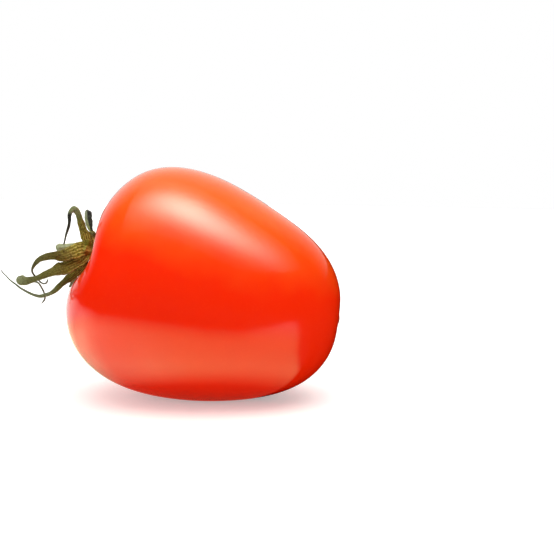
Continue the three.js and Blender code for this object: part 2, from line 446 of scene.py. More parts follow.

# %% [markdown]
# A ripe skin is a clear waxy layer over red flesh that light enters a little. The top is
# painted a more orange red, for the light that falls on it from above and the glow round the
# highlight. Fine pale flecks lie under the wax, and a corky spot marks where the blossom was.
# A painted picture could show this, but noise in the object's own coordinates stays sharp at
# any size. A little subsurface scattering gives the flesh its depth, and a low, slightly
# uneven roughness gives the wax its gloss.

# %% Fruit material
# Painted light: the upper stops make the top a lighter orange, for the light from above and the glow
# round the highlight.
SKIN_REDS_AND_TOP_LIGHT = [
    (0.1, (0.78, 0.014, 0.0004)),
    (0.5, (0.84, 0.018, 0.0006)),
    (0.75, (0.88, 0.066, 0.004)),
    (1.0, (0.90, 0.130, 0.016)),
]
BROAD_BLOTCHES, FINE_BLOTCHES, SMEARS = (26.0, 1.6), (2.2, 1.4), (5.0, 1.0)
TOP_LIGHT_SPREAD = (-0.3, 1.0)
BROAD_SHARE = 0.3
MOTTLE_COLOR = (0.88, 0.04, 0.002)
MOTTLE_STRENGTH = 0.12
FLECK_COLOR = (0.95, 0.10, 0.006)
FLECK_SPREAD = (0.1, 0.26, 0.06, 0.0)
FLECKS_PER_M = 900.0
PORES_PER_M = 1400.0
PORE_SHARE = 0.35
SCAR_COLOR = (0.15, 0.055, 0.012)
SCAR_SPREAD, WEAR_SPREAD = (0.15, 1.0), (0.1, 0.9, 0.0, 0.4)
STAIN_COLOR = (0.42, 0.06, 0.006)
STAIN_SPREAD = (0.72, 0.95)
WAX_ROUGHNESS = (0.2, 0.8, 0.08, 0.13)
WAX_IOR = 1.45
FLESH_WEIGHT = 0.12
FLESH_RADIUS = (1.0, 0.18, 0.04)
FLESH_DEPTH = 2.5
SKIN_RELIEF = (0.12, 0.12)


def make_skin_material():
    material, tree, shader = new_material("tomato skin")
    position = add_node(tree, "ShaderNodeTexCoord").outputs["Object"]
    fine = blotch_mask(tree, *FINE_BLOTCHES)
    broad = times(tree, blotch_mask(tree, *BROAD_BLOTCHES), BROAD_SHARE)
    # Painted light: the top turns a lighter orange for the light from above; the broad blotches are the
    # skin's own uneven tone.
    tone_and_top_light = maths(tree, "ADD", broad, spread(tree, attribute(tree, "top"), *TOP_LIGHT_SPREAD))
    red = ramp(tree, tone_and_top_light, SKIN_REDS_AND_TOP_LIGHT)
    mottled = mix_colors(tree, times(tree, fine, MOTTLE_STRENGTH), red, MOTTLE_COLOR)
    flecks = add_node(tree, "ShaderNodeTexVoronoi", {"Vector": position, "Scale": FLECKS_PER_M})
    fleck = spread(tree, flecks.outputs["Distance"], *FLECK_SPREAD)
    flecked = mix_colors(tree, fleck, mottled, FLECK_COLOR)
    corky = mix_colors(tree, spread(tree, attribute(tree, "scar"), *SCAR_SPREAD), flecked, SCAR_COLOR)
    stained = mix_colors(tree, spread(tree, attribute(tree, "stem"), *STAIN_SPREAD), corky, STAIN_COLOR)

    worn = spread(tree, attribute(tree, "scar"), *WEAR_SPREAD)
    smooth = spread(tree, blotch_mask(tree, *SMEARS), *WAX_ROUGHNESS)
    cells = add_node(tree, "ShaderNodeTexVoronoi", {"Vector": position, "Scale": PORES_PER_M})
    pores = times(tree, cells.outputs["Distance"], PORE_SHARE)
    dents = relief(tree, maths(tree, "ADD", pores, fine), *SKIN_RELIEF)
    set_inputs(shader, {
        "Base Color": stained, "Roughness": maths(tree, "ADD", smooth, worn),
        "Normal": dents, "IOR": WAX_IOR, "Subsurface Weight": FLESH_WEIGHT,
        "Subsurface Radius": FLESH_RADIUS, "Subsurface Scale": FLESH_DEPTH * MM,
    })
    return material


fruit = make_fruit(make_skin_material())
print("fruit faces:", len(fruit.data.polygons))

# %% [markdown]
# ## The calyx
#
# The calyx is the dried star of leaves round the stalk. Each sepal is a thin blade along a
# route of listed points: how far out from the dimple, up and to the front, and the
# blade's width. They could be modelled one by one, but a route is quick to bend. Its faces
# are the directions in which the flat side looks, at the root and at the tip. Rust says
# from where to where, in millimetres, the blade is brown, and how brown. A list of places
# and amounts says how black it is along its way.

# %% Sepal routes
SEPALS = {
    "sepal_top": {
        "faces": [(0.3, 0, 0.95), (0.4, 0, 0.9)],
        "rust": (0, 9, 0.45),
        "black_and_shade": [(0.58, 0), (0.63, 1), (0.78, 0.9), (1, 0.55)],
        "route": [
            (6.6, 0, 1.4, 3.2), (7.4, 1.8, 2.6, 3.5), (8, 3.2, 3.6, 3.1), (8.8, 4.2, 4.1, 2.5),
            (9.5, 5.4, 4.5, 2.15), (10.3, 6.7, 4.8, 1.9), (11.1, 7.9, 5, 1.9),
            (11.9, 8.7, 5.3, 1.8), (12.6, 9, 5.6, 1.7), (13.1, 8.2, 5.9, 1.25),
            (13.1, 7.1, 6.1, 1.1), (12.7, 6, 6.3, 1), (12.4, 4.7, 6.4, 0.8), (12.4, 3.4, 6.4, 0.7),
            (12.4, 2.1, 6.3, 0.55), (12.3, 0.7, 6.2, 0.4), (12.2, -0.8, 6.2, 0.3),
        ],
    },
    "sepal_front": {
        "faces": [(0.2, 0.2, 1), (0.3, 0.1, 1)],
        "rust": (5, 24, 0.75),
        "black_and_shade": [(0.62, 0), (1, 0.45)],
        "route": [
            (6.4, -0.7, 1.8, 3), (7.3, -0.7, 3, 3.9), (8.1, -1, 4.2, 4.3), (8.9, -1.6, 5.8, 4.1),
            (9.8, -2.1, 7.2, 3.7), (10.6, -2.6, 8.5, 3.3), (11.7, -3.1, 9.5, 2.95),
            (12.8, -3.3, 10.3, 2.2), (13.9, -3.7, 10.9, 1.95), (15, -4.3, 11.3, 1.85),
            (16.1, -5.2, 11.5, 1.5), (16.8, -6.3, 11.5, 1.25), (17.3, -7.7, 11.2, 0.9),
            (17.4, -8.9, 10.8, 0.6), (17, -9.8, 10.3, 0.45), (16.2, -10.6, 9.6, 0.4),
            (15.4, -11.2, 9.1, 0.4), (14.7, -11.7, 8.8, 0.4), (13.9, -11.9, 8.6, 0.4),
            (13.3, -11.5, 8.5, 0.4), (13.1, -10.8, 8.5, 0.35), (13.1, -10.2, 8.5, 0.3),
        ],
    },
    "sepal_front_low": {
        "faces": [(0.15, 0.3, 1), (0.4, 0.3, 0.9)],
        "rust": (3, 23, 0.62),
        "black_and_shade": [(0.66, 0), (1, 0.45)],
        "route": [
            (6.4, -1.6, 1.4, 2.6), (6.6, -2.7, 2.6, 2.9), (7.2, -3.8, 4, 3.2), (8, -4.4, 5.7, 3.5),
            (8.8, -5.1, 7.3, 3.8), (9.6, -5.8, 8.8, 4), (10.5, -6.2, 10.2, 3.7),
            (11.4, -6.9, 11.3, 2.85), (12.4, -7.6, 12.1, 2.25), (13.4, -8.4, 12.6, 1.9),
            (14.4, -9.3, 12.9, 1.7), (15.5, -10.2, 13, 1.55), (16.7, -11, 12.9, 1.8),
            (18, -11.8, 12.5, 2.3), (19.2, -12.1, 11.8, 2.7), (20.1, -12.1, 10.8, 2.6),
            (19.9, -12.1, 9.7, 1.3), (18.8, -12.2, 9, 0.9), (17.2, -12.3, 8.5, 0.65),
            (15.9, -12.2, 8, 0.5), (15.1, -12.6, 7.6, 0.45), (14.3, -13.4, 7.3, 0.4),
            (13.3, -14.6, 7, 0.4), (12.7, -15.8, 7, 0.4), (12.8, -16.7, 7, 0.35),
            (13.2, -17.6, 7, 0.3),
        ],
    },
    "sepal_low": {
        "faces": [(0.2, 0.4, 0.9), (0.2, 0.5, 0.9)],
        "rust": (1, 12, 0.6),
        "black_and_shade": [(0, 0.9), (0.06, 0.9), (0.12, 0), (0.5, 0), (1, 0.45)],
        "route": [
            (6.5, -2.3, 0.8, 2.2), (6.3, -4.1, 1.6, 1.9), (6.5, -5.7, 2.6, 2.3),
            (7.2, -7.2, 3.9, 2.6), (8.1, -8.6, 5.4, 2.4), (8.9, -9.8, 6.6, 1.85),
            (9.7, -11.1, 7.7, 1.65), (10.4, -12.5, 8.6, 1.4), (11.3, -13.6, 9.2, 1.15),
            (12.4, -14.4, 9.5, 1.05), (13.6, -15.1, 9.6, 0.9), (14.9, -15.3, 9.6, 0.75),
            (16.3, -15.3, 9.5, 0.65), (17.8, -15.1, 9.4, 0.58), (19.4, -14.8, 9.3, 0.5),
            (20.9, -14.3, 9.2, 0.42), (22.5, -13.8, 9.1, 0.36), (24.1, -13, 9, 0.3),
            (25.1, -12.5, 9, 0.3), (25.7, -11.9, 9, 0.25),
        ],
    },
    "sepal_back_low": {
        "faces": [(0.8, 0.4, 0.6), (0.8, 0.4, 0.6)],
        "rust": (0, 16, 0.6),
        "black_and_shade": [(0, 0.3), (1, 0)],
        "route": [
            (6.7, -2.6, -0.4, 2.4), (7.5, -6.3, -2, 2.2), (8.4, -9.7, -4, 2),
            (9.2, -12.3, -5.6, 1.5), (9.7, -14.3, -6.6, 0.4),
        ],
    },
    "sepal_back": {
        "faces": [(1, 0.2, -0.2), (0.6, -0.2, -0.8)],
        "rust": (0, 9, 0.5),
        "black_and_shade": [(0.5, 0), (1, 0.4)],
        "route": [
            (7.1, -1.7, -1, 2.8), (7.7, -2.9, -3.8, 2.8), (8.5, -4.6, -6.8, 2.4),
            (9.5, -6.9, -9.4, 1.8), (11.1, -8.9, -11.4, 1.2), (11.8, -11.1, -12.2, 0.4),
        ],
    },
    "sepal_back_top": {
        "faces": [(0.5, 0, 0.85), (0.3, 0, 0.95)],
        "rust": (0, 3, 0.3),
        "black_and_shade": [(0, 0), (1, 0.1)],
        "route": [
            (6.4, -0.2, -0.6, 1.4), (6.9, 1.6, -2, 1.2), (7.8, 2.8, -3.4, 1.2),
            (8.8, 3.6, -4.6, 1.7), (9.7, 4.4, -5.6, 2.2), (10.5, 5.3, -6.4, 2.4),
            (11, 6.2, -7, 2.2), (11.3, 7, -7.4, 1.6), (11.4, 7.3, -7.6, 0.8),
        ],
    },
}

STALK_ROUTE = [
    (8.4, -1, 0.2, 3), (9.2, -1.2, 0.2, 2.5), (10.2, -1.6, 0.3, 2.1), (11.9, -2.3, 0.5, 1.9),
    (13.4, -2.8, 0.8, 1.95), (14.2, -3.1, 1, 2.05), (14.6, -3.2, 1, 1.6), (14.9, -3.3, 1, 0.9),
]
STEPS_PER_KNOT = 40


def smooth_route(route, count):
    """Evenly spaced points and widths on a smooth curve through the route, and its length."""
    knots = np.array(route, dtype=float)
    padded = np.vstack([2 * knots[0] - knots[1], knots, 2 * knots[-1] - knots[-2]])
    dense = []
    for index in range(len(knots) - 1):
        before, start, end, after = padded[index:index + 4]
        part = np.linspace(0, 1, STEPS_PER_KNOT, endpoint=False)[:, None]
        dense.append(0.5 * (
            2 * start + (end - before) * part
            + (2 * before - 5 * start + 4 * end - after) * part ** 2
            + (3 * start - before - 3 * end + after) * part ** 3
        ))
    dense = np.vstack(dense + [knots[-1:]])
    steps = np.linalg.norm(np.diff(dense[:, :3], axis=0), axis=1)
    travelled = np.concatenate([[0], np.cumsum(steps)])
    wanted = np.linspace(0, travelled[-1], count)
    even = np.stack([np.interp(wanted, travelled, dense[:, axis]) for axis in range(4)], axis=1)
    return even[:, :3], even[:, 3], travelled[-1]


def unit(vectors):
    return vectors / np.linalg.norm(vectors, axis=-1, keepdims=True)


def route_axes(points, faces):
    """The side and the normal of the blade at each point of its route."""
    tangents = unit(np.gradient(points, axis=0))
    part = np.linspace(0, 1, len(points))[:, None]
    root_look, tip_look = unit(np.array(faces, dtype=float))
    looks = root_look * (1 - part) + tip_look * part
    sides = unit(np.cross(tangents, looks))
    return sides, np.cross(sides, tangents)


def from_stalk(points):
    """Metres in the frame, from (out, up, front) measured where the stalk starts."""
    out, up, front = points[..., 0], points[..., 1], points[..., 2]
    return place(STALK_ALONG - out, STALK_UP + up, front)


for name, shape in SEPALS.items():
    print(name, "is", round(float(smooth_route(shape["route"], 2)[2]), 1), "mm long")

# %% [markdown]
# A leaf that dries keeps its ribs while the thin parts shrink, so its edges roll back, most
# at the tip. A flat sheet with a solidify modifier would look cut from card. Here each
# section of the blade is an arc with ribs and small waves on it, thinner at the edges,
# and it bends more and more along the route.

# %% Sepal blades
BLADE_HALF_SIDES = 14
BLADE_RINGS, RINGS_PER_KNOT = 30, 4
FIRST_SEPAL_SEED = 3
BLADE_THICKNESS = 0.42
EDGE_THICKNESS = 0.16
THICKEST_SHARE = 0.9
ROOT_ROLL = 0.1
TIP_ROLL = 1.5
ROLL_LIMIT = 1.45
RIB_COUNT = 5
RIB_HEIGHT = 0.15
RIB_WANDER = 0.7
RIB_SHARPNESS = 2.2
WAVE_HEIGHT = 0.16
RIPPLE_SHARE = 0.4
WANDER_TURNS, WAVE_TURNS, RIPPLE_TURNS = 0.5, 1.5, 3.7
WANDER_SLANT, WAVE_SLANT = 2, 1.5
FULL_RELIEF_WIDTH = 2.5
TIP_END, TIP_ROUNDING = 1.002, 0.03
# Painted shade: one half of this sepal's fold is made black, for the side that lies in shadow.
SHADED_HALF = {"sepal_back_top": -1}
SHADED_HALF_BORDER = 0.3
RUST_RISE, RUST_FALL, ROOT_RUST = 2, 3, 0.2


def blade_section(across, width, roll):
    """Sideways and backward places on a section that bends as an arc, for its width."""
    half = width / 2
    angle = roll * across
    reach = half / np.sin(np.minimum(roll, ROLL_LIMIT))
    return reach * np.sin(angle), reach * (1 - np.cos(angle))


def both_sheets(values):
    """The values of the front sheet, then those of the back one, and of the end points."""
    return close_rings(np.concatenate([values, values[:, ::-1]], axis=1))


def blade_black_and_shade(name, black_and_shade, part, across):
    """How black the blade is at each point: along it, and for one sepal on one half, as painted shade.
    """
    places, amounts = zip(*black_and_shade)
    black = np.interp(part, places, amounts) * np.ones_like(across)
    half = SHADED_HALF.get(name, 0)
    return black + half ** 2 * np.clip(half * across / SHADED_HALF_BORDER, 0, 1) * (1 - black)


def blade_rust(window, travel):
    """How brown the blade is at each distance from its root."""
    start, end, amount = window
    places = [start, start + RUST_RISE, end - RUST_FALL, end + RUST_FALL]
    return np.interp(travel, places, [ROOT_RUST * amount, amount, amount, 0])


def make_sepal(name, shape, seed, material):
    """Ribs, small waves and edges that roll back more and more towards the tip."""
    draw = np.random.default_rng(seed)
    count = BLADE_RINGS + RINGS_PER_KNOT * len(shape["route"])
    points, widths, length = smooth_route(shape["route"], count)
    sides, normals = route_axes(points, shape["faces"])
    part = np.linspace(0, 1, count)[:, None]
    across = np.linspace(-1, 1, BLADE_HALF_SIDES + 1)[None, :]
    widths = widths[:, None] * np.sqrt(np.clip((TIP_END - part) / TIP_ROUNDING, 0, 1))
    roll = ROOT_ROLL + (TIP_ROLL - ROOT_ROLL) * part ** 2
    sideways, back = blade_section(across, widths, roll)

    phases = draw.uniform(0, 2 * np.pi, 4)
    broad = np.clip(widths / FULL_RELIEF_WIDTH, 0, 1)
    wander = RIB_WANDER * np.sin(part * length * WANDER_TURNS + phases[3] + WANDER_SLANT * across)
    rib = (0.5 + 0.5 * np.cos(RIB_COUNT * np.pi * across + phases[0] + wander)) ** RIB_SHARPNESS
    ribs = RIB_HEIGHT * rib * broad
    waves = np.sin(part * length * WAVE_TURNS + phases[1] + WAVE_SLANT * across) * across ** 2
    ripples = RIPPLE_SHARE * np.sin(part * length * RIPPLE_TURNS + phases[2]) * across
    lift = ribs + WAVE_HEIGHT * (waves + ripples) * broad - back
    thickness = EDGE_THICKNESS + (BLADE_THICKNESS - EDGE_THICKNESS) * (1 - across ** 2)
    thickness = np.minimum(thickness, THICKEST_SHARE * widths)

    def sheet(offset):
        level = points[:, None] + sides[:, None] * sideways[..., None]
        return level + normals[:, None] * (lift + offset)[..., None]

    rings = np.concatenate([sheet(thickness / 2), sheet(-thickness / 2)[:, ::-1]], axis=1)
    all_points = close_rings(rings)
    values = {
        "age": both_sheets(part + 0 * across),
        "rust": both_sheets(blade_rust(shape["rust"], part * length) + 0 * across),
        "across": both_sheets(across + 0 * part),
        "travel": both_sheets(part * length + 0 * across),
        "rib": both_sheets(rib * broad),
        "black_and_shade": both_sheets(blade_black_and_shade(name, shape["black_and_shade"], part, across)),
        "seed": np.full(len(all_points), float(seed)),
    }
    piece = make_piece(name, from_stalk(all_points), ring_faces(*rings.shape[:2]), values)
    return declare(piece, "calyx", material)


print("points round a blade:", 2 * (BLADE_HALF_SIDES + 1))

# %% [markdown]
# A dried sepal is rusty brown near the root, olive along the blade and grey green where it
# curls, with yellow ribs, dark hollows between the fibres that are painted shade, pale edges
# that are partly papery and partly a painted highlight, and black parts. Some of the black
# is painted shade: one half of a folded sepal, and the receptacle's neck, where the gap to
# the fruit lies in shadow. One plain brown would look like leather. So each of these is a
# colour mixed in by an attribute or by the fibres, and one material does for all the sepals.

# %% Sepal material
SEPAL_GREENS = [
    (0.0, (0.270, 0.220, 0.022)),
    (0.2, (0.190, 0.170, 0.012)),
    (0.4, (0.165, 0.190, 0.055)),
    (0.6, (0.235, 0.270, 0.140)),
    (1.0, (0.250, 0.290, 0.210)),
]
RUST_COLOR = (0.071, 0.053, 0.003)
# Painted shade: the dark colour of the grooves between the fibres.
GROOVE_SHADE_COLOR = (0.026, 0.017, 0.002)
RIB_COLOR = (0.78, 0.70, 0.17)
# Pale edges: partly the papery rim's own colour, partly a painted highlight.
PAPER_EDGE_AND_HIGHLIGHT_COLOR = (0.40, 0.40, 0.26)
# Black for dried parts, and painted shade on one half of a folded sepal and at the neck.
BLACK_AND_SHADE_COLOR = (0.010, 0.010, 0.010)
SEPAL_BLOTCHES = (2.6, 1.8)
SEPAL_FIBRES = 3.5
GROOVE_SHADE_SPREAD, BLACK_AND_SHADE_SPREAD = (0.0, 0.5, 0.75, 0.0), (0.0, 1.0, 1.0, 0.92)
RIDGE_SPREAD, RIB_SPREAD = (0.1, 0.6), (3.5, 10.0, 0.9, 0.1)
RIM_SPREAD, EDGE_SPREAD = (0.86, 1.0, 0.0, 0.5), (6.0, 11.0)
SEPAL_ROUGHNESS = (0.0, 1.0, 0.8, 0.6)
SEPAL_RELIEF = (0.7, 0.18)
SEPAL_GLOSS = 0.08
UNEVENNESS = 0.3


def uneven_shift(tree, size_and_contrast):
    """A number round zero that shifts a colour ramp a little, blotch by blotch."""
    centred = maths(tree, "SUBTRACT", blotch_mask(tree, *size_and_contrast), 0.5)
    return times(tree, centred, UNEVENNESS)


def make_sepal_material():
    material, tree, shader = new_material("dried sepal")
    travel = attribute(tree, "travel")
    fibre = fibre_mask(tree, SEPAL_FIBRES)
    shift = uneven_shift(tree, SEPAL_BLOTCHES)
    green = ramp(tree, maths(tree, "ADD", attribute(tree, "age"), shift), SEPAL_GREENS)
    base = mix_colors(tree, maths(tree, "ADD", attribute(tree, "rust"), shift), green, RUST_COLOR)
    # Painted shade: the grooves between the fibres are darkened.
    hollow = mix_colors(tree, spread(tree, fibre, *GROOVE_SHADE_SPREAD), base, GROOVE_SHADE_COLOR)
    ridge = times(tree, attribute(tree, "rib"), spread(tree, fibre, *RIDGE_SPREAD))
    rib = times(tree, ridge, spread(tree, travel, *RIB_SPREAD))
    ribbed = mix_colors(tree, rib, hollow, RIB_COLOR)
    # The pale edges are partly papery tissue and partly a painted highlight.
    rim = spread(tree, maths(tree, "ABSOLUTE", attribute(tree, "across")), *RIM_SPREAD)
    edge = times(tree, rim, spread(tree, travel, *EDGE_SPREAD))
    edged = mix_colors(tree, edge, ribbed, PAPER_EDGE_AND_HIGHLIGHT_COLOR)
    # The black is partly dried tissue and partly painted shade: one half of a folded sepal, and the
    # neck.
    black = times(tree, attribute(tree, "black_and_shade"), spread(tree, fibre, *BLACK_AND_SHADE_SPREAD))
    set_inputs(shader, {
        "Base Color": mix_colors(tree, black, edged, BLACK_AND_SHADE_COLOR),
        "Roughness": spread(tree, fibre, *SEPAL_ROUGHNESS),
        "Normal": relief(tree, fibre, *SEPAL_RELIEF), "Specular IOR Level": SEPAL_GLOSS,
    })
    return material


sepal_material = make_sepal_material()
sepals = [
    make_sepal(name, shape, seed, sepal_material)
    for seed, (name, shape) in enumerate(SEPALS.items(), start=FIRST_SEPAL_SEED)
]
print("sepal faces:", sum(len(piece.data.polygons) for piece in sepals))

# %% [markdown]
# ## The receptacle and the stalk
#
# The receptacle is a short neck that widens under the sepals, with a rib towards each
# one: a turned profile, since it grew round the stem axis. The stalk is a ribbed stub that
# swells into the knuckle where it broke off. A bevelled curve could make it, but the rings
# of a route give it its own width, ribs and knots at each point.

# %% Receptacle and stalk
RECEPTACLE = [
    (3.0, -2.3), (2.6, 0), (2.4, 2), (2.6, 4.4), (3.4, 5.9), (3.9, 6.6), (3.6, 7.2), (2.4, 7.6),
    (1.2, 7.8),
]
RECEPTACLE_SIDES = 96
RECEPTACLE_RINGS = 48
RIDGE_HEIGHT = 0.28
RIDGE_TURN = 0.4
RECEPTACLE_AGE, RECEPTACLE_RUST, RECEPTACLE_SEED = 0.05, 0.1, 1.0
RECEPTACLE_FIBRES = 2.5
# Painted shade: the neck is made black for the shadowed gap between the calyx and the fruit. The top of
# the crown is made black as well.
NECK_SHADE, CROWN_BLACK = ([3.5, 5.8], [0.85, 0]), ([2.2, 3.2], [0, 0.75])
STALK_SIDES = 48
STALK_RINGS = 70
STALK_RIBS = 7
STALK_RIB_HEIGHT = 0.035
STALK_RIB_TWIST = 1.1
STALK_KNOT_HEIGHT = 0.02
STALK_KNOT_TURNS = 2.1
STALK_SEED = 9.0


def make_receptacle(material):
    profile = np.array(RECEPTACLE)
    spots = np.linspace(0, len(profile) - 1, RECEPTACLE_RINGS)
    reach = np.interp(spots, np.arange(len(profile)), profile[:, 0])[:, None]
    out = np.interp(spots, np.arange(len(profile)), profile[:, 1])[:, None]
    around = 2 * np.pi * np.arange(RECEPTACLE_SIDES)[None, :] / RECEPTACLE_SIDES
    ridges = np.cos(len(SEPALS) * around + RIDGE_TURN) + 0.5 * np.cos(3 * len(SEPALS) * around)
    swell = RIDGE_HEIGHT * ridges * np.clip(reach / 4, 0, 1) / 2
    up = (reach + swell) * np.cos(around)
    front = (reach + swell) * np.sin(around)
    rings = np.stack(np.broadcast_arrays(out + swell, up, front), axis=-1)
    points = close_rings(rings)
    black = np.maximum(np.interp(out, *NECK_SHADE), np.interp(up, *CROWN_BLACK))

    def on_rings(numbers):
        return close_rings(np.broadcast_to(numbers, rings.shape[:2]))

    values = {
        "age": np.full(len(points), RECEPTACLE_AGE),
        "rust": np.full(len(points), RECEPTACLE_RUST),
        "across": on_rings(RECEPTACLE_FIBRES * np.sin(2 * around)),
        "travel": on_rings(reach),
        "rib": on_rings(np.clip(0.3 + ridges / 2, 0, 1)),
        "black_and_shade": on_rings(black),
        "seed": np.full(len(points), RECEPTACLE_SEED),
    }
    faces = ring_faces(RECEPTACLE_RINGS, RECEPTACLE_SIDES)
    piece = make_piece("receptacle", from_stalk(points), faces, values)
    return declare(piece, "calyx", material)


def make_stalk(material):
    points, widths, length = smooth_route(STALK_ROUTE, STALK_RINGS)
    sides, normals = route_axes(points, [(0, 0, 1), (0, 0, 1)])
    part = np.linspace(0, 1, STALK_RINGS)[:, None]
    around = 2 * np.pi * np.arange(STALK_SIDES)[None, :] / STALK_SIDES
    ribs = STALK_RIB_HEIGHT * np.cos(STALK_RIBS * around + STALK_RIB_TWIST * part)
    knots = STALK_KNOT_HEIGHT * np.sin(part * length * STALK_KNOT_TURNS + 2 * around)
    reach = widths[:, None] / 2 * (1 + ribs + knots)
    rings = (
        points[:, None]
        + sides[:, None] * (reach * np.cos(around))[..., None]
        + normals[:, None] * (reach * np.sin(around))[..., None]
    )
    all_points = close_rings(rings)
    values = {
        "along": close_rings(part + 0 * around),
        "across": close_rings(2 * np.sin(around) + 0 * part),
        "travel": close_rings(part * length + 0 * around),
        "seed": np.full(len(all_points), STALK_SEED),
    }
    faces = ring_faces(STALK_RINGS, STALK_SIDES)
    piece = make_piece("stalk_stub", from_stalk(all_points), faces, values)
    return declare(piece, "stalk", material)


receptacle = make_receptacle(sepal_material)
print("receptacle faces:", len(receptacle.data.polygons))

# %% [markdown]
# The stalk dried less than the sepals, so it is still a pale sage green, with darker
# streaks between its ribs. It gets a material of its own, since its colours differ, but it
# shares the two groups, so it looks grown from the same plant.

# %% Stalk material
STALK_GREENS = [
    (0.0, (0.27, 0.28, 0.11)),
    (0.35, (0.29, 0.32, 0.15)),
    (0.8, (0.30, 0.35, 0.17)),
    (1.0, (0.27, 0.29, 0.16)),
]
STREAK_COLOR = (0.12, 0.13, 0.06)
STREAK_SPREAD = (0.0, 0.5, 0.45, 0.0)
STALK_BLOTCHES = (2.0, 1.6)
STALK_FIBRES = 3.0
STALK_ROUGHNESS = (0.0, 1.0, 0.7, 0.5)
STALK_RELIEF = (0.5, 0.12)


def make_stalk_material():
    material, tree, shader = new_material("pale stalk")
    fibre = fibre_mask(tree, STALK_FIBRES)
    age = maths(tree, "ADD", attribute(tree, "along"), uneven_shift(tree, STALK_BLOTCHES))
    green = ramp(tree, age, STALK_GREENS)
    set_inputs(shader, {
        "Base Color": mix_colors(tree, spread(tree, fibre, *STREAK_SPREAD), green, STREAK_COLOR),
        "Roughness": spread(tree, fibre, *STALK_ROUGHNESS),
        "Normal": relief(tree, fibre, *STALK_RELIEF),
    })
    return material


stalk = make_stalk(make_stalk_material())
print("stalk faces:", len(stalk.data.polygons))

# %% [markdown]
# ## Short hairs
#
# A tomato plant's green parts carry short pale hairs. A particle system could grow them,
# but Geometry Nodes show each step: points on the faces, a thin cone on every point, each
# leaning and long by chance from a fixed seed. The result becomes a plain mesh.

# %% Hairs
HAIRS_PER_MM2 = 5.0
HAIR_LENGTH = 0.32
HAIR_RADIUS = 0.016
HAIR_LEAN = 0.7
SHORTEST_HAIR = 0.4
STALK_HAIR_SEED = 20
HAIR_COLOR = (0.36, 0.37, 0.22, 1)
HAIR_INPUTS = {
    "Geometry": "NodeSocketGeometry", "Density": "NodeSocketFloat", "Length": "NodeSocketFloat",
    "Seed": "NodeSocketInt", "Material": "NodeSocketMaterial",
}


def make_hair_tree():
    """Cones on scattered points, each leaning and long by chance."""
    tree = bpy.data.node_groups.new("short hairs", "GeometryNodeTree")
    for key, kind in HAIR_INPUTS.items():
        tree.interface.new_socket(key, in_out="INPUT", socket_type=kind)
    tree.interface.new_socket("Geometry", in_out="OUTPUT", socket_type="NodeSocketGeometry")
    given = tree.nodes.new("NodeGroupInput").outputs
    spots = add_node(tree, "GeometryNodeDistributePointsOnFaces", {
        "Mesh": given["Geometry"], "Density": given["Density"], "Seed": given["Seed"],
    })
    cone = add_node(tree, "GeometryNodeMeshCone", {
        "Vertices": 3, "Radius Top": 0.0, "Radius Bottom": HAIR_RADIUS * MM, "Depth": 1.0,
    }, fill_type="NONE")
    chance = add_node(tree, "FunctionNodeRandomValue", {
        2: SHORTEST_HAIR, 3: 1.0, "Seed": given["Seed"],
    })
    long = times(tree, given["Length"], chance.outputs[1])
    scale = add_node(tree, "ShaderNodeCombineXYZ", {0: 1.0, 1: 1.0, 2: long})
    hairs = add_node(tree, "GeometryNodeInstanceOnPoints", {
        "Points": spots.outputs["Points"], "Instance": cone.outputs["Mesh"],
        "Rotation": spots.outputs["Rotation"], "Scale": scale.outputs[0],
    })
    lean = add_node(tree, "FunctionNodeRandomValue", {
        0: (-HAIR_LEAN, -HAIR_LEAN, 0), 1: (HAIR_LEAN, HAIR_LEAN, 0), "Seed": given["Seed"],
    }, data_type="FLOAT_VECTOR")
    leaning = add_node(tree, "GeometryNodeRotateInstances", {
        "Instances": hairs.outputs["Instances"], "Rotation": lean.outputs[0],
    })
    real = add_node(tree, "GeometryNodeRealizeInstances", {"Geometry": leaning.outputs[0]})
    finish = add_node(tree, "GeometryNodeSetMaterial", {
        "Geometry": real.outputs[0], "Material": given["Material"],
    })
    tree.links.new(finish.outputs[0], tree.nodes.new("NodeGroupOutput").inputs["Geometry"])
    return tree


def make_hair_material():
    material, tree, shader = new_material("pale hair")
    set_inputs(shader, {"Base Color": HAIR_COLOR, "Roughness": 0.7, "Specular IOR Level": 0.2})
    return material


def grow_hairs(name, skin, node, seed, material):
    """A plain mesh of hairs over a piece, attached to the root body; the frame's solid for the node is
    hidden.
    """
    holder = bpy.data.objects.new(name, skin.data)
    bpy.context.collection.objects.link(holder)
    modifier = holder.modifiers.new("hairs", "NODES")
    modifier.node_group = hair_tree
    inputs = [item for item in hair_tree.interface.items_tree if item.in_out == "INPUT"]
    sockets = {item.name: item.identifier for item in inputs}
    modifier[sockets["Density"]] = HAIRS_PER_MM2 / MM ** 2
    modifier[sockets["Length"]] = HAIR_LENGTH * MM
    modifier[sockets["Seed"]] = seed
    modifier[sockets["Material"]] = material
    grown = holder.evaluated_get(bpy.context.evaluated_depsgraph_get())
    mesh = bpy.data.meshes.new_from_object(grown)
    holder.modifiers.clear()
    holder.data = mesh
    return claim(holder, node)


hair_tree = make_hair_tree()
hair_material = make_hair_material()
hairs = [
    grow_hairs(f"{piece.name}_hairs", piece, "calyx", seed, hair_material)
    for seed, piece in enumerate(sepals)
]
hairs.append(grow_hairs("stalk_hairs", stalk, "stalk", STALK_HAIR_SEED, hair_material))
print("hair faces:", sum(len(piece.data.polygons) for piece in hairs))

# %% [markdown]
# ## Floor and light
#
# A small studio: a pale floor, and a room whose even light is a little stronger from the
# left. An environment picture could light it too, but then no part of the light could be
# changed alone. The floor glows faintly to the camera, which keeps it white round the
# soft shadow.

# %% Floor and room
FLOOR_HALF = 0.36
FLOOR_COLOR = (0.8, 0.8, 0.79, 1)
FLOOR_GLOW = 0.35
WHITE = (1, 1, 1, 1)
ROOM_COLOR = (1, 0.98, 0.95, 1)
ROOM_LIGHT = (1.15, 0.6)


